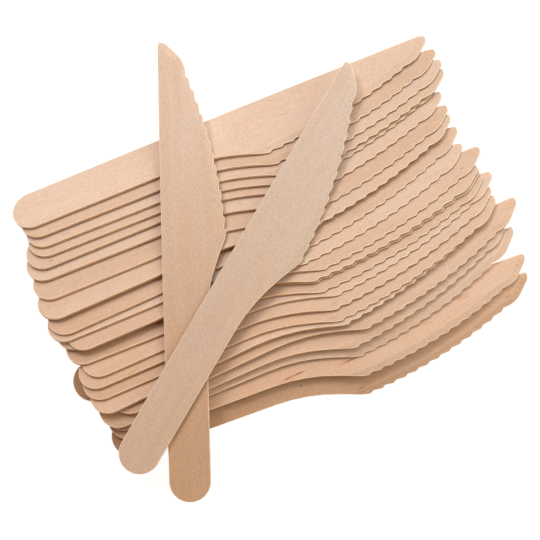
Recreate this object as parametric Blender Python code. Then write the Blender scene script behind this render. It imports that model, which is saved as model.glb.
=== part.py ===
"""A loose pack of 27 one-piece wooden table knives.

Twenty-five lie beside each other like fallen dominoes, and two lie crossed on top of them.
Metres, +Z up. The origin is the middle of the pack's box, on the surface that the knives lie on.
"""

import math
from typing import NamedTuple

import bmesh
import bpy
import numpy as np
from mathutils import Matrix, Vector
from mathutils.bvhtree import BVHTree

MM = 0.001

# One knife, lying flat. x runs from the butt to the point, and depth from the back to the edge, along -y
LENGTH = 164.5 * MM
THICKNESS = 1.5 * MM
HANDLE_WIDTH = 14.8 * MM
BUTT_ROUND = 7.39 * MM
BACK_ARCH = 0.45 * MM
NECK_X = 73.5 * MM
NECK_ROUND = 66 * MM
BELLY_X = 93.2 * MM
BELLY_DEPTH = 22.35 * MM
BELLY_ROUND = 8 * MM
SHOULDER_X = 156.8 * MM
SHOULDER_DEPTH = 9.95 * MM
SHOULDER_ROUND = 10 * MM
POINT_ROUND = 0.7 * MM
NOSE_DEPTH = 2.4 * MM
NOSE_ROUND = 3 * MM

# The teeth stand on a wide arc, which is deepest at its apex
EDGE_ARC = 185 * MM
APEX_X = 85 * MM
APEX_DEPTH = 22.65 * MM
TEETH = 13
TOOTH_PITCH = 4.62 * MM
LAST_NOTCH_X = 152.3 * MM
NOTCH_TO_PEAK = 1.3 * MM
PEAK_RISE = 0.4 * MM
NOTCH_FALL = 0.3 * MM

# The upper face is chamfered along the blade, and the chamfer runs out at the neck
CHAMFER_WIDTH = 2.5 * MM
CHAMFER_DROP = 0.9 * MM
RUN_OUT_X = 78 * MM
RUN_OUT_DEPTH = 22.5 * MM
BLANK_GROWTH = 0.05 * MM
BLANK_MARGIN = 12 * MM
BLANK_EDGE_STEPS = 6

ARC_STEP = math.radians(12)
BACK_STEPS = 5
WELD = 0.0001 * MM

# How the knives lie on each other
GAP = 0.3 * MM
MARGIN = 0.5 * MM
SAMPLE_STEP = 4 * MM
PASSES = 4
BACK_PRESS = 2 * MM
MIDDLE_PRESS = 9 * MM
SEARCH_STEPS = 34
CROSSED_LEAN = math.radians(33)
STEEPEST_PITCH = math.tan(math.radians(15))
HIGH = 1.0
DOWN = Vector((0, 0, -1))
FAN_TURN = math.radians(22)

WOOD_ROUGHNESS = 0.62
WOOD_LIGHT = (0.70, 0.50, 0.35)
WOOD_DARK = (0.56, 0.37, 0.24)


class Shape(NamedTuple):
    """A knife's mesh, the ridges of its upper side, and the lines of its back and edge."""

    mesh: bpy.types.Mesh
    ridges: np.ndarray
    back: np.ndarray
    edge: np.ndarray


class Lie(NamedTuple):
    """Where a knife's back lies: its butt end along and across the plan, then its point end across.

    In millimetres from the plan's middle: along towards the points, across towards the fan's lower side.
    It leans by no more than the given angle.
    """

    name: str
    along: float
    butt: float
    point: float
    steepest: float = math.radians(33)


# The fan from its top knife to its bottom one, in a plan that is turned with it
FAN = (
    Lie("knife_01", -79.7, -58.5, -58.5),
    Lie("knife_02", -78.2, -54.0, -52.5),
    Lie("knife_03", -77.7, -50.0, -48.0),
    Lie("knife_04", -78.2, -46.5, -44.5),
    Lie("knife_05", -80.7, -42.5, -43.0),
    Lie("knife_06", -82.2, -38.5, -37.0),
    Lie("knife_07", -82.2, -31.0, -31.5),
    Lie("knife_08", -82.6, -23.5, -28.0),
    Lie("knife_09", -83.4, -23.7, -28.2),
    Lie("knife_10", -81.7, -17.0, -23.0),
    Lie("knife_11", -82.7, -15.0, -16.5),
    Lie("knife_12", -77.2, -9.5, -13.0),
    Lie("knife_13", -80.7, -11.5, -7.0),
    Lie("knife_14", -80.2, -11.0, -6.0),
    Lie("knife_15", -79.7, -5.0, -3.5),
    Lie("knife_16", -76.2, 1.5, -3.0),
    Lie("knife_17", -78.7, 5.0, 2.0),
    Lie("knife_18", -78.7, 9.0, 6.0),
    Lie("knife_19", -78.0, 14.7, 5.4),
    Lie("knife_20", -71.2, 17.0, 9.0, math.radians(25)),
    Lie("knife_21", -77.2, 19.4, 14.0, math.radians(18)),
    Lie("knife_22", -76.2, 20.5, 18.6),
    Lie("knife_23", -75.7, 24.2, 29.5),
    Lie("knife_24", -77.2, 30.0, 36.0),
    Lie("knife_25", -83.7, 7.0, -8.0),
)

# The two knives on top, in the plan itself: their points, and the way that they point
CROSSED = (
    ("knife_vertical", (-40.5, 82.0), math.radians(91.8)),
    ("knife_diagonal", (27.0, 74.6), math.radians(59.7)),
)


def main():
    clear_scene()
    pack = new_collection("wooden_knives")
    mesh = knife_mesh(new_collection("cutters"))
    shape = Shape(mesh, ridge_points(mesh), *side_lines())
    places = {}
    for lie in reversed(FAN):
        butt, turn = fan_place(lie)
        places[lie.name] = settled(shape, butt, turn, BACK_PRESS, lie.steepest, places.values())
    for name, point, turn in CROSSED:
        butt = Vector(point) * MM - Vector((math.cos(turn), math.sin(turn))) * LENGTH
        places[name] = settled(shape, butt, turn, MIDDLE_PRESS, CROSSED_LEAN, places.values())
    root = bpy.data.objects.new("pack", None)
    root.location = -bottom_centre(mesh, places.values())
    pack.objects.link(root)
    for number, (name, place) in enumerate(places.items()):
        knife = bpy.data.objects.new(name, mesh)
        pack.objects.link(knife)
        knife.parent = root
        knife.location = place.to_translation()
        knife.rotation_euler = place.to_euler()
        set_wood(knife, number / (len(places) - 1))


def clear_scene():
    for thing in list(bpy.data.objects):
        bpy.data.objects.remove(thing, do_unlink=True)


def new_collection(name):
    collection = bpy.data.collections.new(name)
    bpy.context.scene.collection.children.link(collection)
    return collection


# The knife


def edge_depth(x):
    """How deep the arc under the teeth lies at x."""
    return APEX_DEPTH - EDGE_ARC + math.sqrt(EDGE_ARC**2 - (x - APEX_X) ** 2)


def arched_back():
    """The back from just past the butt to the point, as a gentle arch."""
    start = BUTT_ROUND
    for step in range(1, BACK_STEPS):
        share = step / BACK_STEPS
        yield start + share * (LENGTH - start), -BACK_ARCH * 4 * share * (1 - share), 0


def tooth_corners():
    for tooth in range(TEETH):
        notch = LAST_NOTCH_X - tooth * TOOTH_PITCH
        peak = notch - NOTCH_TO_PEAK
        yield notch, edge_depth(notch) - NOTCH_FALL, 0
        yield peak, edge_depth(peak) + PEAK_RISE, 0


def knife_corners():
    """The knife's outline from its point, along the edge, round the butt and back: x, depth and radius."""
    return [
        (LENGTH, 0, POINT_ROUND),
        (LENGTH, NOSE_DEPTH, NOSE_ROUND),
        (SHOULDER_X, SHOULDER_DEPTH, SHOULDER_ROUND),
        *tooth_corners(),
        (BELLY_X, BELLY_DEPTH, BELLY_ROUND),
        (NECK_X, HANDLE_WIDTH, NECK_ROUND),
        (0, HANDLE_WIDTH, BUTT_ROUND),
        (0, 0, BUTT_ROUND),
        *arched_back(),
    ]


def blank_corners():
    """An outline that follows the blade's side of the knife and clears all the rest of it."""
    far = BELLY_DEPTH + BLANK_MARGIN
    steps = np.linspace(LAST_NOTCH_X, BELLY_X, BLANK_EDGE_STEPS)
    return [
        (LENGTH, -BLANK_MARGIN, 0),
        (LENGTH, NOSE_DEPTH, NOSE_ROUND),
        (SHOULDER_X, SHOULDER_DEPTH, SHOULDER_ROUND),
        *((x, edge_depth(x) + PEAK_RISE, 0) for x in steps),
        (RUN_OUT_X, RUN_OUT_DEPTH, 0),
        (RUN_OUT_X - BLANK_MARGIN, far, 0),
        (-BLANK_MARGIN, far, 0),
        (-BLANK_MARGIN, -BLANK_MARGIN, 0),
    ]


def rounded(corners):
    """The points of a closed outline whose corners are given as x, depth and radius."""
    points = []
    for number, (x, depth, radius) in enumerate(corners):
        corner = Vector((x, -depth))
        if radius == 0:
            points.append(corner)
            continue
        before = Vector(corners[number - 1][:2])
        after = Vector(corners[(number + 1) % len(corners)][:2])
        arrive = (corner - Vector((before.x, -before.y))).normalized()
        leave = (Vector((after.x, -after.y)) - corner).normalized()
        bend = arrive.angle_signed(leave)
        side = Vector((arrive.y, -arrive.x)) * math.copysign(1, bend)
        start = corner - arrive * radius * math.tan(abs(bend) / 2)
        centre = start + side * radius
        steps = max(2, math.ceil(abs(bend) / ARC_STEP))
        for step in range(steps + 1):
            spoke = (start - centre).to_3d()
            spoke.rotate(Matrix.Rotation(-bend * step / steps, 3, "Z"))
            points.append(centre + spoke.to_2d())
    return points


def plate(name, points, half_thickness, chamfer=0.0, offset=0.0):
    """A flat 2D curve of these points, filled and extruded, with its rims chamfered outwards."""
    curve = bpy.data.curves.new(name, "CURVE")
    curve.dimensions = "2D"
    curve.fill_mode = "BOTH"
    curve.extrude = half_thickness
    curve.bevel_depth = chamfer
    curve.bevel_resolution = 0
    curve.offset = offset
    spline = curve.splines.new("POLY")
    spline.points.add(len(points) - 1)
    for place, point in zip(spline.points, points):
        place.co = (point.x, point.y, 0, 1)
    spline.use_cyclic_u = True
    return bpy.data.objects.new(name, curve)


def as_mesh_object(thing):
    """The same shape as a closed mesh, in place of the curve."""
    bpy.context.scene.collection.objects.link(thing)
    seen = thing.evaluated_get(bpy.context.evaluated_depsgraph_get())
    mesh = bpy.data.meshes.new_from_object(seen)
    shape = bmesh.new()
    shape.from_mesh(mesh)
    bmesh.ops.remove_doubles(shape, verts=shape.verts, dist=WELD)
    bmesh.ops.recalc_face_normals(shape, faces=shape.faces)
    shape.to_mesh(mesh)
    shape.free()
    solid = bpy.data.objects.new(thing.name, mesh)
    bpy.data.objects.remove(thing)
    bpy.context.scene.collection.objects.link(solid)
    return solid


def knife_mesh(cutters):
    """The knife with its underside on z = 0: a toothed plate, cut to a blank with a chamfered rim."""
    knife = as_mesh_object(plate("knife", rounded(knife_corners()), THICKNESS / 2))
    knife.data.transform(Matrix.Translation((0, 0, THICKNESS / 2)))
    squeeze = CHAMFER_DROP / CHAMFER_WIDTH
    half = (THICKNESS - CHAMFER_DROP) / squeeze
    grown = BLANK_GROWTH - CHAMFER_WIDTH
    blank = as_mesh_object(plate("blank", rounded(blank_corners()), half, CHAMFER_WIDTH, grown))
    blank.data.transform(Matrix.Diagonal((1, 1, squeeze, 1)))
    cut = knife.modifiers.new("chamfer", "BOOLEAN")
    cut.operation = "INTERSECT"
    cut.solver = "EXACT"
    cut.object = blank
    seen = knife.evaluated_get(bpy.context.evaluated_depsgraph_get())
    mesh = bpy.data.meshes.new_from_object(seen)
    mesh.name = "knife"
    bpy.data.objects.remove(knife)
    bpy.context.scene.collection.objects.unlink(blank)
    cutters.objects.link(blank)
    blank.hide_render = True
    blank.display_type = "WIRE"
    return mesh


# How the knives rest


def fan_place(lie):
    """Where the butt end of a fan knife's back lies in the plan, and the way that the knife points."""
    turn = FAN_TURN - math.atan2((lie.point - lie.butt) * MM, LENGTH)
    along = Vector((math.cos(FAN_TURN), math.sin(FAN_TURN)))
    across = Vector((math.sin(FAN_TURN), -math.cos(FAN_TURN)))
    return (along * lie.along + across * lie.butt) * MM, turn


def side_lines():
    """The back and the edge of the outline, each as its points from the butt to the point."""
    outline = rounded(knife_corners())
    butt = min(range(len(outline)), key=lambda number: outline[number].x)
    back = np.array([*outline[butt:], outline[0]])
    edge = np.array(outline[butt::-1])
    return back, edge


def samples(line):
    """Points along a line, no more than a sample step apart."""
    for start, end in zip(line, line[1:]):
        steps = math.ceil(np.linalg.norm(end - start) / SAMPLE_STEP)
        for step in range(steps):
            yield start + (end - start) * step / steps
    yield line[-1]


def ridge_points(mesh):
    """Points along every edge of the knife's upper side, lifted by the gap that touching knives keep."""
    found = []
    for edge in mesh.edges:
        line = np.array([mesh.vertices[number].co for number in edge.vertices])
        if line[:, 2].min() > WELD:
            found.extend(samples(line))
    return np.array(found) + (0, 0, GAP)


def carried(place, points):
    """The points moved by a place's matrix."""
    rows = np.array(place)
    return points @ rows[:3, :3].T + rows[:3, 3]


def tree_of(mesh, places):
    """All the knives laid so far, as one tree that a ray can be cast on."""
    points = []
    faces = []
    for place in places:
        start = len(points)
        points.extend(place @ vertex.co for vertex in mesh.vertices)
        faces.extend([start + number for number in face.vertices] for face in mesh.polygons)
    return BVHTree.FromPolygons(points, faces)


def lowest(height, low, high):
    """Where a height that falls and then rises is lowest."""
    for _ in range(SEARCH_STEPS):
        first = low + (high - low) / 3
        second = high - (high - low) / 3
        if height(first) < height(second):
            high = second
        else:
            low = first
    return (low + high) / 2


def under_outline(shape, squeeze, flat, pile):
    """Points on what lies under the knife's own outline: the surface, or the knives below."""
    for x, y in (*samples(shape.back), *samples(shape.edge)):
        spot = flat @ Vector((x, y * squeeze, HIGH))
        hit = pile.ray_cast(spot, DOWN)[0]
        yield x, y * squeeze, hit.z + GAP if hit else 0


def under_face(shape, squeeze, points):
    """Those of the points below that lie under the knife's underside."""
    x, y = points[:, 0], points[:, 1]
    high = np.interp(x, shape.back[:, 0], shape.back[:, 1]) * squeeze + MARGIN
    low = np.interp(x, shape.edge[:, 0], shape.edge[:, 1]) * squeeze - MARGIN
    return points[(x > -MARGIN) & (x < LENGTH + MARGIN) & (y < high) & (y > low)]


def best_pitch(points, lean):
    """The pitch that lets a knife with this lean sink lowest on the points below it."""
    x, y, z = points.T
    raised = z + y * lean
    return lowest(lambda pitch: (raised - x * pitch).max(), -STEEPEST_PITCH, STEEPEST_PITCH)


def pressed_height(points, lean):
    """How high the pressed spot of a knife with this lean stays."""
    x, y, z = points.T
    return (z + y * lean - x * best_pitch(points, lean)).max()


def settled(shape, butt, turn, press, steepest, below):
    """The place of a knife that is laid on the knives below it, with its back over a given line.

    It is pressed down at a given depth from its back, half-way along, until no pitch or lean brings it lower.
    """
    flat = Matrix.Translation((butt.x, butt.y, 0)) @ Matrix.Rotation(turn, 4, "Z")
    pile = tree_of(shape.mesh, below)
    ridges = [carried(flat.inverted() @ place, shape.ridges) for place in below]
    squeeze = 1
    for _ in range(PASSES):
        supports = [np.array(list(under_outline(shape, squeeze, flat, pile)))]
        supports.extend(under_face(shape, squeeze, points) for points in ridges)
        points = np.concatenate(supports) - (LENGTH / 2, -press * squeeze, 0)
        lean = lowest(lambda tried: pressed_height(points, tried), -math.tan(steepest), math.tan(steepest))
        squeeze = math.cos(math.atan(lean))
    pitch = best_pitch(points, lean)
    lift = pressed_height(points, lean) - pitch * LENGTH / 2 - lean * press * squeeze
    x_axis = Vector((1, 0, pitch)).normalized()
    z_axis = Vector((-pitch, lean, 1)).normalized()
    tilt = Matrix((x_axis, z_axis.cross(x_axis), z_axis)).transposed().to_4x4()
    return flat @ Matrix.Translation((0, 0, lift)) @ tilt


def bottom_centre(mesh, places):
    corners = np.array([tuple(place @ vertex.co) for place in places for vertex in mesh.vertices])
    low = corners.min(axis=0)
    high = corners.max(axis=0)
    return Vector(((low[0] + high[0]) / 2, (low[1] + high[1]) / 2, low[2]))


def set_wood(knife, lightness):
    wood = bpy.data.materials.new("wood_" + knife.name)
    wood.use_nodes = True
    surface = wood.node_tree.nodes["Principled BSDF"]
    colour = [dark + (light - dark) * lightness for dark, light in zip(WOOD_DARK, WOOD_LIGHT)]
    surface.inputs["Base Color"].default_value = (*colour, 1)
    surface.inputs["Roughness"].default_value = WOOD_ROUGHNESS
    surface.inputs["Metallic"].default_value = 0
    if not knife.data.materials:
        knife.data.materials.append(None)
    knife.material_slots[0].link = "OBJECT"
    knife.material_slots[0].material = wood


if __name__ == "__main__":
    main()
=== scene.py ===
import math
from typing import NamedTuple

import bmesh
import bpy
import numpy as np
from mathutils import Matrix, Vector
from mathutils.geometry import delaunay_2d_cdt, intersect_line_line_2d


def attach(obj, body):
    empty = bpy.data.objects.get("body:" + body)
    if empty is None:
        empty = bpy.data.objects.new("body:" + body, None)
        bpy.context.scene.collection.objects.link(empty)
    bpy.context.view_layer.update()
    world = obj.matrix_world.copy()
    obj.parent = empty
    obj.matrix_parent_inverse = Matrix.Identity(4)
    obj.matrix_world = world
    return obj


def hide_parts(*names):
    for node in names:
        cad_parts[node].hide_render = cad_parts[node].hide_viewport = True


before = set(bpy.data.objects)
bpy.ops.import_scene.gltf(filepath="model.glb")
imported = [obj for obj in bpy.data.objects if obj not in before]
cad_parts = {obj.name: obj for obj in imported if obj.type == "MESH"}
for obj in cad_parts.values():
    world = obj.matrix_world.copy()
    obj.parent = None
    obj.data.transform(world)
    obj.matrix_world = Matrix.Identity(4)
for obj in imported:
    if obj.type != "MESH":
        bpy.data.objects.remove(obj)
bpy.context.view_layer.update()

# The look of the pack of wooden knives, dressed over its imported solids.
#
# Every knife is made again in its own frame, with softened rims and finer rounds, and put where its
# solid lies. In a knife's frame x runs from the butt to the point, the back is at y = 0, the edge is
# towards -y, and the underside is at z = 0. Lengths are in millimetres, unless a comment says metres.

MM = 0.001

# The knife, as in the part's source
LENGTH = 164.5
THICKNESS = 1.5
HANDLE_WIDTH = 14.8
BUTT_ROUND = 7.39
BACK_ARCH = 0.45
NECK_X = 73.5
NECK_ROUND = 66
BELLY_X = 93.2
BELLY_DEPTH = 22.35
BELLY_ROUND = 8
SHOULDER_X = 156.8
SHOULDER_DEPTH = 9.95
SHOULDER_ROUND = 10
POINT_ROUND = 0.7
NOSE_DEPTH = 2.4
NOSE_ROUND = 3
EDGE_ARC = 185
APEX_X = 85
APEX_DEPTH = 22.65
TEETH = 13
TOOTH_PITCH = 4.62
LAST_NOTCH_X = 152.3
NOTCH_TO_PEAK = 1.3
PEAK_RISE = 0.4
NOTCH_FALL = 0.3
CHAMFER_WIDTH = 2.45
CHAMFER_SLOPE = 0.36
RUN_OUT_X = 78
RUN_OUT_DEPTH = 22.5
BLANK_MARGIN = 12
ARC_STEP = math.radians(6)
BACK_STEPS = 10
BLANK_EDGE_STEPS = 10

# The sanded rims, and the sliver that keeps the finer rounds inside the solids
RIM = 0.2
RIM_HALF_WAY = 1 - math.sqrt(0.5)
SLIVER = 0.02

# The parts of a knife's surface, as its faces and its material tell them apart
FACE, CHAMFER, RIMS, SIDES = 0.0, 0.25, 0.5, 1.0
PART_SPREAD = 0.1

# A face that reaches this far below the upper face belongs to the chamfer
CREASE_DROP = 0.001

# Points closer than this become one: where the upper face is filled, and where a solid is measured
NEAR = 0.0001
WELD = 0.01

# The least cosine between the directions of two facets of one flat side
LEVEL = 0.9999

# Edges that bend by more than this look sharp
SHARP = math.radians(14)

# How far a bite's cutter stands above the upper face
ABOVE = 0.1

# The camera looks straight down from here
CAMERA_XY = (-0.4, -2.1)
CAMERA_HEIGHT = 450
SENSOR = 36
LENS = 81.35

# The floor, whose side is in metres
FLOOR = 40
FLOOR_DROP = 0.05
FLOOR_COLOR = (0.3, 0.3, 0.3, 1)
FLOOR_ROUGHNESS = 0.9
FLOOR_GLOW = 0.9

# The room
ROOM_COLOR = (1.0, 0.52, 0.22, 1)
ROOM_STRENGTH = 0.23

# The wood's colour, what it is multiplied by on sawn sides, the painted contact shade that darkens their
# foot, what it is multiplied by in its patches, and the heights between which the painted foot shade
# fades
BIRCH = (0.691, 0.573, 0.496)
SAWN = (1.05, 0.92, 0.76)
PAINTED_FOOT_SHADE = (0.14, 0.06, 0.03)
PATCHY = (1.0, 0.97, 0.93)
PAINTED_FOOT_SHADE_HEIGHTS = (0.15, 0.5)

# The rims' painted highlight colour, which stands in for the light they catch, and its share there
PAINTED_RIM_HIGHLIGHT = (1.0, 0.86, 0.67)
PAINTED_RIM_HIGHLIGHT_SHARE = 0.95

# How far apart in the veneer two knives are cut
VENEER_STEP = (211.0, 37.0, 5.0)

# Where along a knife its tone goes over from the butt's to the point's
TONE_CHANGE = (10, 150)


class Noise(NamedTuple):
    """The size of a noise's lumps along the knife, across it and through it, and its detail."""

    size: tuple
    detail: int


BEND = Noise((70, 20, 20), 1)
BANDS = Noise((90, 2.6, 3), 2)
FIBRES = Noise((7, 0.4, 0.6), 2)
SPECKS = Noise((1.1, 0.28, 0.6), 2)
PORES = Noise((2.2, 0.28, 0.5), 1)
PATCHES = Noise((34, 9, 9), 2)
SAWING = Noise((1.1, 1.1, 4), 3)
RAGS = Noise((0.9, 0.3, 0.5), 2)

# How far the bend pushes the grain sideways, and where the noise turns into pores and patches
SWAY = 2.5
PORE_RANGE = (0.64, 0.78)
PATCH_RANGE = (0.36, 0.66)

# How much each of them changes the shade
BAND_SHADE = 0.12
FIBRE_SHADE = 0.14
SPECK_SHADE = 0.65
PORE_SHADE = -0.08
SAW_SHADE = 0.3

# Their heights in the bump, and the bump's strength and distance
FIBRE_HEIGHT = 0.6
SPECK_HEIGHT = 0.4
PORE_HEIGHT = -0.5
SAW_HEIGHT = 1.5
BUMP_STRENGTH = 0.5
BUMP_DISTANCE = 0.05

# How much of a tone's warmth the green takes part in
GREEN_SHARE = 0.5

# The gloss
ROUGHNESS = 0.62
FIBRE_ROUGHNESS = 0.2
SIDE_ROUGHNESS = 0.1
SPECULAR = 0.25

# How ragged a mark is, and where it fades, as a share of its half width
RAGGEDNESS = 0.9
MARK_FADE = (0.5, 1.1)


class Softbox(NamedTuple):
    """A round softbox aimed at the pack, with its distance and size in metres and its power in watts.

    The bearing is in degrees from +Y towards +X, and the height in degrees above the floor.
    """

    name: str
    bearing: float
    height: float
    distance: float
    size: float
    power: float
    color: tuple


SOFTBOXES = (
    Softbox("key", bearing=-35, height=58, distance=0.5, size=0.1, power=0.5, color=(1, 0.91, 0.85)),
    Softbox("window", bearing=0, height=54, distance=0.9, size=0.9, power=4.8, color=(1, 0.94, 0.87)),
    Softbox("fill", bearing=90, height=48, distance=0.9, size=0.9, power=3.0, color=(1, 0.965, 0.84)),
)


class Look(NamedTuple):
    """The lightness and warmth of a knife's butt and point, partly the wood's own tone and partly painted
    light and shade, its mottle, and how much darker its chamfer is painted, a painted shade.
    """

    butt: tuple
    point: tuple
    mottle: float = 0.75
    # How much darker the chamfer is painted, a painted shade
    edge: float = -0.04


class Mark(NamedTuple):
    """A stain or streak on the upper face, in the knife's frame."""

    start: tuple
    end: tuple
    width: float
    tint: tuple
    strength: float


class Bite(NamedTuple):
    """A split, nick or chip in the upper side, in the knife's frame."""

    start: tuple
    end: tuple
    width: float
    depth: float


# The looks of the knives that differ from the rest of the fan; their darker, warmer butts are partly the
# wood's own tone and partly painted shade
LOOKS = {
    "knife_24": Look(butt=(0.72, 0.4), point=(1.01, 0.24)),
    "knife_25": Look(butt=(0.75, 0.33), point=(0.9, 0.2)),
    "knife_vertical": Look(butt=(0.82, 0.33), point=(1.02, -0.01), mottle=1.0, edge=0.0),
    "knife_diagonal": Look(butt=(0.9, 0.08), point=(0.965, -0.09), mottle=0.9, edge=0.0),
}

# The fan's tones at its first and last knife, and how much neighbours differ; the lower knives' darker,
# warmer butts are partly painted shade and their lighter points partly painted light, the rest is the
# wood's own tone
FAN = 23
FIRST_BUTT, LAST_BUTT = (1.08, 0.02), (0.98, 0.28)
FIRST_POINT, LAST_POINT = (1.0, 0.07), (1.1, 0.07)
UNLIKE = (0.03, -0.05)
UNLIKE_STEP = 2.4

# What a mark multiplies the wood's colour by
ORANGE = (0.86, 0.62, 0.40)
BROWN = (0.60, 0.42, 0.30)
DARK = (0.35, 0.22, 0.14)
PALE = (1.12, 1.10, 1.06)
MARKS = {
    "knife_01": (
        Mark((100.8, -0.5), (104.5, -3.0), 0.4, BROWN, 0.35),
        Mark((101.0, -9.6), (108.7, -10.1), 0.5, BROWN, 0.35),
    ),
    "knife_23": (
        Mark((159.9, -3.6), (161.5, -3.6), 0.5, BROWN, 0.8),
        Mark((132.7, -7.9), (141.3, -7.0), 0.5, ORANGE, 0.8),
        Mark((134.5, -8.1), (140.9, -8.3), 0.5, ORANGE, 0.8),
        Mark((117.2, -11.7), (124.0, -12.5), 0.7, ORANGE, 0.6),
        Mark((129.3, -12.9), (130.6, -13.1), 0.5, BROWN, 0.6),
        Mark((84.6, -15.9), (96.4, -15.2), 0.9, ORANGE, 0.7),
        Mark((64.2, -14.2), (76.2, -13.2), 0.9, ORANGE, 0.7),
    ),
    "knife_24": (
        Mark((153.5, -6.2), (156.3, -6.2), 0.6, ORANGE, 0.9),
        Mark((71.6, -11.2), (72.8, -11.2), 0.6, DARK, 0.8),
    ),
    "knife_22": (Mark((161.8, -0.65), (162.6, -0.65), 0.6, DARK, 0.9),),
    "knife_18": (Mark((90.5, -20.1), (94.4, -20.9), 0.5, BROWN, 0.5),),
    "knife_17": (
        Mark((15.9, -14.4), (22.0, -13.7), 0.5, ORANGE, 0.8),
        Mark((93.6, -20.9), (96.6, -20.0), 0.5, BROWN, 0.5),
    ),
    "knife_16": (Mark((85.6, -17.0), (89.8, -19.0), 0.6, PALE, 0.6),),
    "knife_12": (
        Mark((154.2, -6.7), (155.9, -6.7), 0.4, DARK, 0.8),
        Mark((152.4, -7.2), (154.4, -7.0), 0.5, PALE, 0.6),
    ),
    "knife_05": (Mark((7.4, -12.4), (9.3, -12.4), 0.4, DARK, 0.7),),
    "knife_03": (Mark((11.8, -12.9), (15.4, -12.8), 0.5, BROWN, 0.5),),
}
DAMAGE = {
    "knife_20": (Bite((153.3, -8.3), (154.9, -8.2), 0.5, 0.6),),
    "knife_18": (Bite((75.0, -16.9), (75.9, -15.9), 0.5, 0.9),),
    "knife_24": (Bite((90.9, -19.8), (94.8, -19.3), 0.45, 0.9),),
    "knife_23": (
        Bite((87.4, -15.4), (94.4, -15.2), 0.5, 0.9),
        Bite((68.6, -13.5), (74.6, -13.3), 0.5, 0.9),
        Bite((65.2, -14.1), (69.8, -13.3), 0.5, 0.8),
    ),
}


def add_knives():
    whole = knife_mesh("whole_knife")
    birch = birch_group()
    for number, (name, node) in enumerate(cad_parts.items()):
        mesh = damaged(whole, DAMAGE.get(name, ()))
        keep_spots(mesh)
        mesh.transform(knife_place(node.data))
        mesh.shade_smooth()
        mesh.set_sharp_from_angle(angle=SHARP)
        mesh.materials.append(wood(name, number, birch))
        mesh.name = name + "_wood"
        knife = bpy.data.objects.new(name + "_wood", mesh)
        bpy.context.scene.collection.objects.link(knife)
        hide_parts(name)
        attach(knife, "root")


def fan_look(name):
    """The look of a knife of the fan: along it the butts grow darker and warmer, the points lighter,
    partly as the wood's own tone and partly as painted shade and painted light.
    """
    number = int(name.rpartition("_")[2])
    share = (number - 1) / (FAN - 1)
    wave = math.sin(number * UNLIKE_STEP)

    def tone(first, last):
        return tuple(a + (b - a) * share + wave * c for a, b, c in zip(first, last, UNLIKE))

    return Look(butt=tone(FIRST_BUTT, LAST_BUTT), point=tone(FIRST_POINT, LAST_POINT))


# The knife's shape


def edge_depth(x):
    return APEX_DEPTH - EDGE_ARC + math.sqrt(EDGE_ARC**2 - (x - APEX_X) ** 2)


def arched_back():
    for step in range(1, BACK_STEPS):
        share = step / BACK_STEPS
        yield BUTT_ROUND + share * (LENGTH - BUTT_ROUND), -BACK_ARCH * 4 * share * (1 - share), 0


def tooth_corners():
    for tooth in range(TEETH):
        notch = LAST_NOTCH_X - tooth * TOOTH_PITCH
        peak = notch - NOTCH_TO_PEAK
        yield notch, edge_depth(notch) - NOTCH_FALL, 0
        yield peak, edge_depth(peak) + PEAK_RISE, 0


def knife_corners():
    """The outline from the point, along the edge, round the butt and back: x, depth and radius."""
    return [
        (LENGTH, 0, POINT_ROUND),
        (LENGTH, NOSE_DEPTH, NOSE_ROUND),
        (SHOULDER_X, SHOULDER_DEPTH, SHOULDER_ROUND),
        *tooth_corners(),
        (BELLY_X, BELLY_DEPTH, BELLY_ROUND),
        (NECK_X, HANDLE_WIDTH, NECK_ROUND),
        (0, HANDLE_WIDTH, BUTT_ROUND),
        (0, 0, BUTT_ROUND),
        *arched_back(),
    ]


def blank_corners():
    """The line that the chamfer's foot follows: the blade's side of the knife, and clear of the rest."""
    far = BELLY_DEPTH + BLANK_MARGIN
    steps = np.linspace(LAST_NOTCH_X, BELLY_X, BLANK_EDGE_STEPS)
    return [
        (LENGTH, -BLANK_MARGIN, 0),
        (LENGTH, NOSE_DEPTH, NOSE_ROUND),
        (SHOULDER_X, SHOULDER_DEPTH, SHOULDER_ROUND),
        *((x, edge_depth(x) + PEAK_RISE, 0) for x in steps),
        (RUN_OUT_X, RUN_OUT_DEPTH, 0),
        (RUN_OUT_X - BLANK_MARGIN, far, 0),
    ]


def rounded(corners):
    """The points of a closed outline whose corners are given as x, depth and radius."""
    points = []
    for number, (x, depth, radius) in enumerate(corners):
        corner = Vector((x, -depth))
        if radius == 0:
            points.append(corner)
            continue
        before = Vector(corners[number - 1][:2])
        after = Vector(corners[(number + 1) % len(corners)][:2])
        arrive = (corner - Vector((before.x, -before.y))).normalized()
        leave = (Vector((after.x, -after.y)) - corner).normalized()
        bend = arrive.angle_signed(leave)
        side = Vector((arrive.y, -arrive.x)) * math.copysign(1, bend)
        start = corner - arrive * radius * math.tan(abs(bend) / 2)
        centre = start + side * radius
        steps = max(2, math.ceil(abs(bend) / ARC_STEP))
        for step in range(steps + 1):
            spoke = (start - centre).to_3d()
            spoke.rotate(Matrix.Rotation(-bend * step / steps, 3, "Z"))
            points.append(centre + spoke.to_2d())
    return points


def inward(points, closed=True):
    """Each point's way into the outline, as long as moves both its sides in by one."""
    ways = []
    for number, point in enumerate(points):
        before = points[number - 1] if closed or number else point * 2 - points[1]
        last = number == len(points) - 1
        after = point * 2 - points[-2] if last and not closed else points[(number + 1) % len(points)]
        arrive = (point - before).normalized()
        leave = (after - point).normalized()
        first = Vector((arrive.y, -arrive.x))
        second = Vector((leave.y, -leave.x))
        ways.append((first + second) / (1 + first.dot(second)))
    return ways


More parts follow.
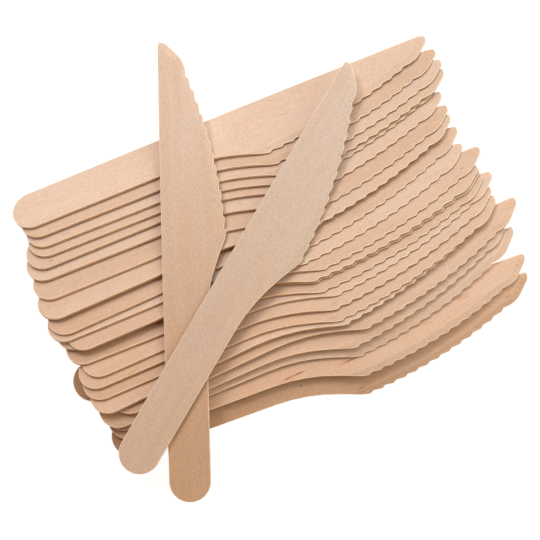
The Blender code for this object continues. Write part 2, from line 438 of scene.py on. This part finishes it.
def with_crossings(outline, crease):
    """The outline, with a point added wherever its rim crosses the crease."""
    inner = [point + way * RIM for point, way in zip(outline, inward(outline))]
    points = []
    for number, point in enumerate(outline):
        points.append(point)
        after = (number + 1) % len(outline)
        side = outline[after] - point
        for start, end in zip(crease, crease[1:]):
            crossing = intersect_line_line_2d(inner[number], inner[after], start, end)
            if crossing:
                points.append(point + side * (crossing - point).dot(side) / side.length_squared)
    return points


def upper_height(x, y, foot):
    """The height of the upper face, which slopes down to the chamfer's foot."""
    spot = np.array((x, y))
    starts, ends = foot[:-1], foot[1:]
    along = ends - starts
    share = np.clip(((spot - starts) * along).sum(axis=1) / (along**2).sum(axis=1), 0, 1)
    gap = np.linalg.norm(starts + along * share[:, None] - spot, axis=1).min()
    return THICKNESS - CHAMFER_SLOPE * max(0, CHAMFER_WIDTH - gap)


def knife_mesh(name):
    foot = rounded(blank_corners())
    crease = [point + way * CHAMFER_WIDTH for point, way in zip(foot, inward(foot, closed=False))]
    outline = rounded(knife_corners())
    outline = [point + way * SLIVER for point, way in zip(outline, inward(outline))]
    outline = with_crossings(outline, crease)
    ways = inward(outline)
    foot_line = np.array(foot)
    inner = [point + way * RIM for point, way in zip(outline, ways)]
    heights = [upper_height(point.x, point.y, foot_line) for point in inner]

    shape = bmesh.new()
    part = shape.faces.layers.float.new("part")

    def ring(inset, levels):
        spots = [point + way * inset for point, way in zip(outline, ways)]
        return [shape.verts.new((spot.x, spot.y, level)) for spot, level in zip(spots, levels)]

    flat = [0.0] * len(outline)
    near = RIM * RIM_HALF_WAY
    rings = [
        ring(RIM, flat),
        ring(near, [near] * len(outline)),
        ring(0, [RIM] * len(outline)),
        ring(0, [height - RIM for height in heights]),
        ring(near, [height - near for height in heights]),
        ring(RIM, heights),
    ]
    kinds = (RIMS, RIMS, SIDES, RIMS, RIMS)
    for kind, lower, upper in zip(kinds, rings, rings[1:]):
        for number in range(len(outline)):
            after = (number + 1) % len(outline)
            face = shape.faces.new((lower[after], lower[number], upper[number], upper[after]))
            face[part] = kind
    shape.faces.new(rings[0])[part] = FACE

    count = len(inner)
    lines = [(count + number, count + number + 1) for number in range(len(crease) - 1)]
    points, _, faces, origins, _, owners = delaunay_2d_cdt(
        [*inner, *crease], lines, [list(range(count))[::-1]], 0, NEAR, True
    )
    tops = {}
    for number, (point, origin) in enumerate(zip(points, origins)):
        old = [source for source in origin if source < count]
        if old:
            tops[number] = rings[-1][old[0]]
        else:
            level = upper_height(point.x, point.y, foot_line)
            tops[number] = shape.verts.new((point.x, point.y, level))
    for face, owner in zip(faces, owners):
        if 0 in owner:
            corners = [tops[number] for number in face]
            low = min(corner.co.z for corner in corners) < THICKNESS - CREASE_DROP
            shape.faces.new(corners)[part] = CHAMFER if low else FACE
    loose = [vertex for vertex in shape.verts if not vertex.link_faces]
    bmesh.ops.delete(shape, geom=loose, context="VERTS")
    bmesh.ops.recalc_face_normals(shape, faces=shape.faces)
    bmesh.ops.scale(shape, vec=(MM, MM, MM), verts=shape.verts)

    mesh = bpy.data.meshes.new(name)
    shape.to_mesh(mesh)
    shape.free()
    return mesh


def damaged(whole, bites):
    """A copy of the knife's mesh, with these bites cut out of its upper side."""
    knife = bpy.data.objects.new("knife", whole.copy())
    bpy.context.scene.collection.objects.link(knife)
    cutters = []
    for bite in bites:
        cutter = bpy.data.objects.new("bite", bite_mesh(bite))
        bpy.context.scene.collection.objects.link(cutter)
        cutters.append(cutter)
        cut = knife.modifiers.new("bite", "BOOLEAN")
        cut.operation = "DIFFERENCE"
        cut.solver = "EXACT"
        cut.object = cutter
    mesh = bpy.data.meshes.new_from_object(knife.evaluated_get(bpy.context.evaluated_depsgraph_get()))
    for used in [knife, *cutters]:
        bpy.data.objects.remove(used)
    return mesh


def bite_mesh(bite):
    """A narrow diamond that tapers to a point below the upper face."""
    start, end = Vector(bite.start), Vector(bite.end)
    middle = (start + end) / 2
    across = Vector((start.y - end.y, end.x - start.x)).normalized() * bite.width / 2
    shape = bmesh.new()
    part = shape.faces.layers.float.new("part")
    top = THICKNESS + ABOVE
    corners = [(*spot, top) for spot in (start, middle + across, end, middle - across)]
    corners.append((*middle, THICKNESS - bite.depth))
    made = [shape.verts.new(corner) for corner in corners]
    bmesh.ops.convex_hull(shape, input=made)
    for face in shape.faces:
        face[part] = SIDES
    bmesh.ops.recalc_face_normals(shape, faces=shape.faces)
    bmesh.ops.scale(shape, vec=(MM, MM, MM), verts=shape.verts)
    mesh = bpy.data.meshes.new("bite")
    shape.to_mesh(mesh)
    shape.free()
    return mesh


def keep_spots(mesh):
    """Keeps each point's place in the knife's own frame, in millimetres, for the wood's grain."""
    spots = mesh.attributes.new("spot", "FLOAT_VECTOR", "POINT")
    places = np.empty(len(mesh.vertices) * 3)
    mesh.vertices.foreach_get("co", places)
    spots.data.foreach_set("vector", places / MM)


def knife_place(solid):
    """The matrix that takes a knife in its own frame to where this solid lies.

    The underside is the solid's largest side, and the handle's lower edge is the longest edge round it.
    """
    shape = bmesh.new()
    shape.from_mesh(solid)
    bmesh.ops.remove_doubles(shape, verts=shape.verts, dist=WELD * MM)
    normal = max(shape.faces, key=lambda face: face.calc_area()).normal.copy()
    sides = ([face for face in shape.faces if face.normal.dot(way) > LEVEL] for way in (normal, -normal))
    facets = max(sides, key=lambda side: sum(face.calc_area() for face in side))
    joined = bmesh.ops.dissolve_faces(shape, faces=facets)["region"]
    underside = max(joined, key=lambda face: face.calc_area())
    lower = max(underside.loops, key=lambda loop: loop.edge.calc_length())
    start = lower.link_loop_next.vert.co
    along = (lower.vert.co - start).normalized()
    up = -underside.normal
    back = up.cross(along)
    butt = min((vertex.co - start).dot(along) for vertex in underside.verts)
    origin = start + along * butt + back * HANDLE_WIDTH * MM
    shape.free()
    turned = Matrix((along, back, up)).transposed().to_4x4()
    return Matrix.Translation(origin) @ turned


# The wood's material


class Nodes:
    """Adds nodes to a shader tree; an input may be given as a socket or as a plain value."""

    def __init__(self, tree):
        self.tree = tree

    def add(self, kind, *inputs, **settings):
        node = self.tree.nodes.new("ShaderNode" + kind)
        for name, value in settings.items():
            setattr(node, name, value)
        for socket, value in zip(node.inputs, inputs):
            self.feed(socket, value)
        return node

    def feed(self, socket, value):
        if isinstance(value, bpy.types.NodeSocket):
            self.tree.links.new(value, socket)
        elif value is not None:
            socket.default_value = value

    def math(self, operation, *values):
        return self.add("Math", *values, operation=operation).outputs[0]

    def vector(self, operation, *values):
        return self.add("VectorMath", *values, operation=operation).outputs[0]

    def noise(self, spot, lumps):
        """Noise from 0 to 1."""
        scaled = self.vector("MULTIPLY", spot, [1 / side for side in lumps.size])
        return self.add("TexNoise", scaled, None, 1.0, lumps.detail, 0.5).outputs[0]

    def centred(self, value, amount):
        """A noise made to swing by this much about zero."""
        return self.math("MULTIPLY", self.math("SUBTRACT", value, 0.5), amount)

    def ramp(self, value, low, high, to_low=0.0, to_high=1.0):
        """A smooth step between two values."""
        settings = {"interpolation_type": "SMOOTHSTEP"}
        return self.add("MapRange", value, low, high, to_low, to_high, **settings).outputs[0]

    def blend(self, share, first, second, kind="MIX"):
        """A mix of two colours."""
        node = self.add("Mix", data_type="RGBA", blend_type=kind)
        self.feed(node.inputs[0], share)
        self.feed(node.inputs[6], first)
        self.feed(node.inputs[7], second)
        return node.outputs[2]

    def total(self, *values):
        result = values[0]
        for value in values[1:]:
            result = self.math("ADD", result, value)
        return result


def birch_group():
    """Plain rotary-cut birch: faint bands and fibres along the knife, short pores and a fine mottle, with
    a painted highlight on the rims, painted shade on the chamfer and painted contact shade at the foot of
    the sides and rims.
    """
    tree = bpy.data.node_groups.new("birch", "ShaderNodeTree")
    for name, kind in (
        ("Spot", "NodeSocketVector"),
        ("Place", "NodeSocketVector"),
        ("Part", "NodeSocketFloat"),
        ("Tone", "NodeSocketColor"),
        ("Mottle", "NodeSocketFloat"),
        ("Edge", "NodeSocketFloat"),
    ):
        tree.interface.new_socket(name, in_out="INPUT", socket_type=kind)
    for name, kind in (
        ("Color", "NodeSocketColor"),
        ("Roughness", "NodeSocketFloat"),
        ("Height", "NodeSocketFloat"),
    ):
        tree.interface.new_socket(name, in_out="OUTPUT", socket_type=kind)
    nodes = Nodes(tree)
    spot, place, part, tone, mottle, edge = tree.nodes.new("NodeGroupInput").outputs[:6]

    bend = nodes.noise(spot, BEND)
    sway = nodes.add("CombineXYZ", 0.0, nodes.math("MULTIPLY", bend, SWAY), 0.0).outputs[0]
    grain = nodes.vector("ADD", spot, sway)

    bands = nodes.noise(grain, BANDS)
    fibres = nodes.noise(grain, FIBRES)
    specks = nodes.noise(spot, SPECKS)
    pores = nodes.ramp(nodes.noise(grain, PORES), *PORE_RANGE)
    patches = nodes.ramp(nodes.noise(grain, PATCHES), *PATCH_RANGE)
    shade = nodes.total(
        1.0,
        nodes.centred(bands, BAND_SHADE),
        nodes.centred(fibres, FIBRE_SHADE),
        nodes.math("MULTIPLY", nodes.centred(specks, SPECK_SHADE), mottle),
        nodes.math("MULTIPLY", pores, PORE_SHADE),
    )
    color = nodes.blend(1.0, tone, (*PATCHY, 1), "MULTIPLY")
    color = nodes.blend(patches, tone, color)
    color = nodes.vector("SCALE", color, None, None, shade)

    chamfer = nodes.math("COMPARE", part, CHAMFER, PART_SPREAD)
    rims = nodes.math("COMPARE", part, RIMS, PART_SPREAD)
    sides = nodes.math("COMPARE", part, SIDES, PART_SPREAD)
    # Painted shade: the chamfer is darkened by the look's edge amount
    painted_chamfer_shade = nodes.total(1.0, nodes.math("MULTIPLY", chamfer, edge))
    color = nodes.vector("SCALE", color, None, None, painted_chamfer_shade)
    sawn = nodes.noise(spot, SAWING)
    cut = nodes.blend(1.0, color, (*SAWN, 1), "MULTIPLY")
    cut = nodes.vector("SCALE", cut, None, None, nodes.total(1.0, nodes.centred(sawn, SAW_SHADE)))
    color = nodes.blend(sides, color, cut)
    # Painted highlight: the rims are made paler, as if catching the light
    color = nodes.blend(nodes.math("MULTIPLY", rims, PAINTED_RIM_HIGHLIGHT_SHARE), color, (*PAINTED_RIM_HIGHLIGHT, 1))
    # Painted shade: the sides and rims are darkened towards the underside, as a contact shadow where the
    # knives meet
    foot = nodes.ramp(nodes.add("SeparateXYZ", place).outputs[2], *PAINTED_FOOT_SHADE_HEIGHTS, 1.0, 0.0)
    foot_shaded = nodes.blend(1.0, color, (*PAINTED_FOOT_SHADE, 1), "MULTIPLY")
    color = nodes.blend(nodes.math("MULTIPLY", foot, nodes.math("MAXIMUM", sides, rims)), color, foot_shaded)

    height = nodes.total(
        nodes.math("MULTIPLY", fibres, FIBRE_HEIGHT),
        nodes.math("MULTIPLY", specks, SPECK_HEIGHT),
        nodes.math("MULTIPLY", pores, PORE_HEIGHT),
        nodes.math("MULTIPLY", nodes.math("MULTIPLY", sawn, sides), SAW_HEIGHT),
    )
    dull = nodes.math("MULTIPLY", sides, SIDE_ROUGHNESS)
    roughness = nodes.total(ROUGHNESS, nodes.centred(fibres, FIBRE_ROUGHNESS), dull)
    output = tree.nodes.new("NodeGroupOutput")
    for socket, value in zip(output.inputs, (color, roughness, height)):
        nodes.feed(socket, value)
    return tree


def wood(name, number, birch):
    """The material of one knife, cut from its own stretch of veneer, with its stains and streaks."""
    look = LOOKS.get(name) or fan_look(name)
    material = bpy.data.materials.new(name + "_birch")
    material.use_nodes = True
    nodes = Nodes(material.node_tree)
    surface = material.node_tree.nodes["Principled BSDF"]
    place = nodes.add("Attribute", attribute_name="spot").outputs["Vector"]
    part = nodes.add("Attribute", attribute_name="part").outputs["Fac"]
    veneer = nodes.vector("ADD", place, [number * step for step in VENEER_STEP])
    along = nodes.add("SeparateXYZ", place).outputs[0]
    # The tone from butt to point is partly the wood's own and partly painted shade and painted light
    tone = nodes.blend(nodes.ramp(along, *TONE_CHANGE), birch_color(look.butt), birch_color(look.point))
    grain = nodes.add("Group", node_tree=birch)
    for socket, value in zip(grain.inputs, (veneer, place, part, tone, look.mottle, look.edge)):
        nodes.feed(socket, value)
    color = grain.outputs["Color"]
    ragged = nodes.noise(place, RAGS)
    for mark in MARKS.get(name, ()):
        color = nodes.blend(mark_mask(nodes, place, ragged, mark), color, (*mark.tint, 1), "MULTIPLY")
    bump = nodes.add("Bump", BUMP_STRENGTH, BUMP_DISTANCE * MM)
    nodes.feed(bump.inputs["Height"], grain.outputs["Height"])
    nodes.feed(surface.inputs["Base Color"], color)
    nodes.feed(surface.inputs["Roughness"], grain.outputs["Roughness"])
    nodes.feed(surface.inputs["Normal"], bump.outputs[0])
    surface.inputs["Specular IOR Level"].default_value = SPECULAR
    return material


def birch_color(tone):
    """Birch of this lightness and warmth."""
    light, warm = tone
    red, green, blue = BIRCH
    return light * red, light * green * (1 - GREEN_SHARE * warm), light * blue * (1 - warm), 1


def mark_mask(nodes, place, ragged, mark):
    """Where a mark shows: a long ragged oval on the upper face."""
    start, end = Vector((*mark.start, THICKNESS)), Vector((*mark.end, THICKNESS))
    along = (end - start).normalized()
    across = Vector((-along.y, along.x, 0))
    away = nodes.vector("SUBTRACT", place, (start + end) / 2)
    ways = (along / (end - start).length * 2, across / mark.width * 2, Vector((0, 0, 2)))
    sides = [nodes.add("VectorMath", away, way, operation="DOT_PRODUCT").outputs["Value"] for way in ways]
    oval = nodes.add("CombineXYZ", *sides).outputs[0]
    gap = nodes.add("VectorMath", oval, operation="LENGTH").outputs["Value"]
    gap = nodes.total(gap, nodes.centred(ragged, RAGGEDNESS))
    return nodes.ramp(gap, *MARK_FADE, mark.strength, 0.0)


# The studio


def add_floor():
    bpy.ops.mesh.primitive_plane_add(size=FLOOR)
    floor = bpy.context.object
    floor.name = "floor"
    paint = bpy.data.materials.new("floor")
    paint.use_nodes = True
    surface = paint.node_tree.nodes["Principled BSDF"]
    surface.inputs["Base Color"].default_value = FLOOR_COLOR
    surface.inputs["Roughness"].default_value = FLOOR_ROUGHNESS
    surface.inputs["Specular IOR Level"].default_value = 0
    surface.inputs["Emission Color"].default_value = (1, 1, 1, 1)
    surface.inputs["Emission Strength"].default_value = FLOOR_GLOW
    floor.data.materials.append(paint)
    floor.location.z = -FLOOR_DROP * MM


def add_softbox(box):
    bearing, height = math.radians(box.bearing), math.radians(box.height)
    level = box.distance * math.cos(height)
    ahead, aside = level * math.cos(bearing), level * math.sin(bearing)
    place = Vector((aside, ahead, box.distance * math.sin(height)))
    light = bpy.data.lights.new(box.name, "AREA")
    light.shape = "DISK"
    light.size = box.size
    light.energy = box.power
    light.color = box.color
    lamp = bpy.data.objects.new(box.name, light)
    lamp.location = place
    lamp.rotation_euler = (-place).to_track_quat("-Z", "Y").to_euler()
    bpy.context.scene.collection.objects.link(lamp)


def add_lights():
    for box in SOFTBOXES:
        add_softbox(box)
    world = bpy.data.worlds.new("room")
    world.use_nodes = True
    background = world.node_tree.nodes["Background"]
    background.inputs["Color"].default_value = ROOM_COLOR
    background.inputs["Strength"].default_value = ROOM_STRENGTH
    bpy.context.scene.world = world
    bpy.context.scene.view_settings.view_transform = "Standard"


def add_camera():
    camera = bpy.data.cameras.new("camera")
    camera.sensor_width = SENSOR
    camera.lens = LENS
    stand = bpy.data.objects.new("camera", camera)
    stand.location = (CAMERA_XY[0] * MM, CAMERA_XY[1] * MM, CAMERA_HEIGHT * MM)
    bpy.context.scene.collection.objects.link(stand)
    bpy.context.scene.camera = stand


add_knives()
add_floor()
add_lights()
add_camera()
